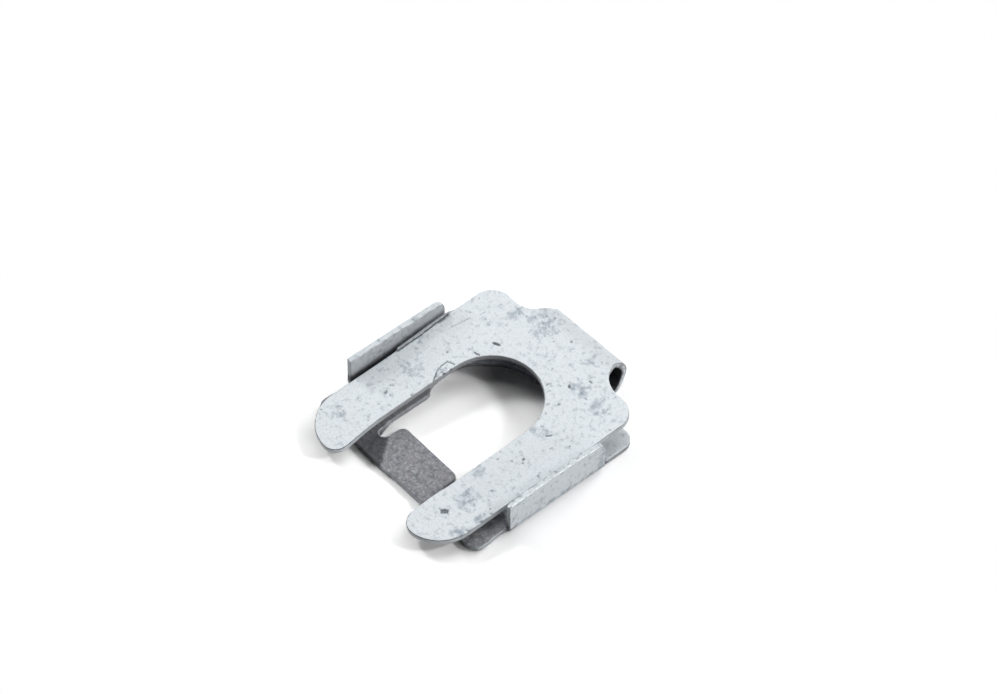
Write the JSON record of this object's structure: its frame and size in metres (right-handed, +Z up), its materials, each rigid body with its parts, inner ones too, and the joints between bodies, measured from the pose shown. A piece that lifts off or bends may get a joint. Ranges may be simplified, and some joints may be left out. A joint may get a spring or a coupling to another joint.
{
  "type": "retaining clip",
  "caption": "Folded sheet-steel clip: a horseshoe slides into a pin's groove and springs against a frame with side flanges and a stop tongue.",
  "frame": {"origin": "on the pin's axis, at the underside of the frame plate", "axes": "+Z up from the frame plate towards the horseshoe, +Y from the horseshoe's mouth to the fold, +X across the flanges"},
  "size_m": [0.0328, 0.0381, 0.0054],
  "materials": {
    "zinc_plated_steel": "dull zinc plating with fine pits"
  },
  "bodies": {
    "root": {"retaining_clip": "zinc_plated_steel"}
  },
  "joints": []
}
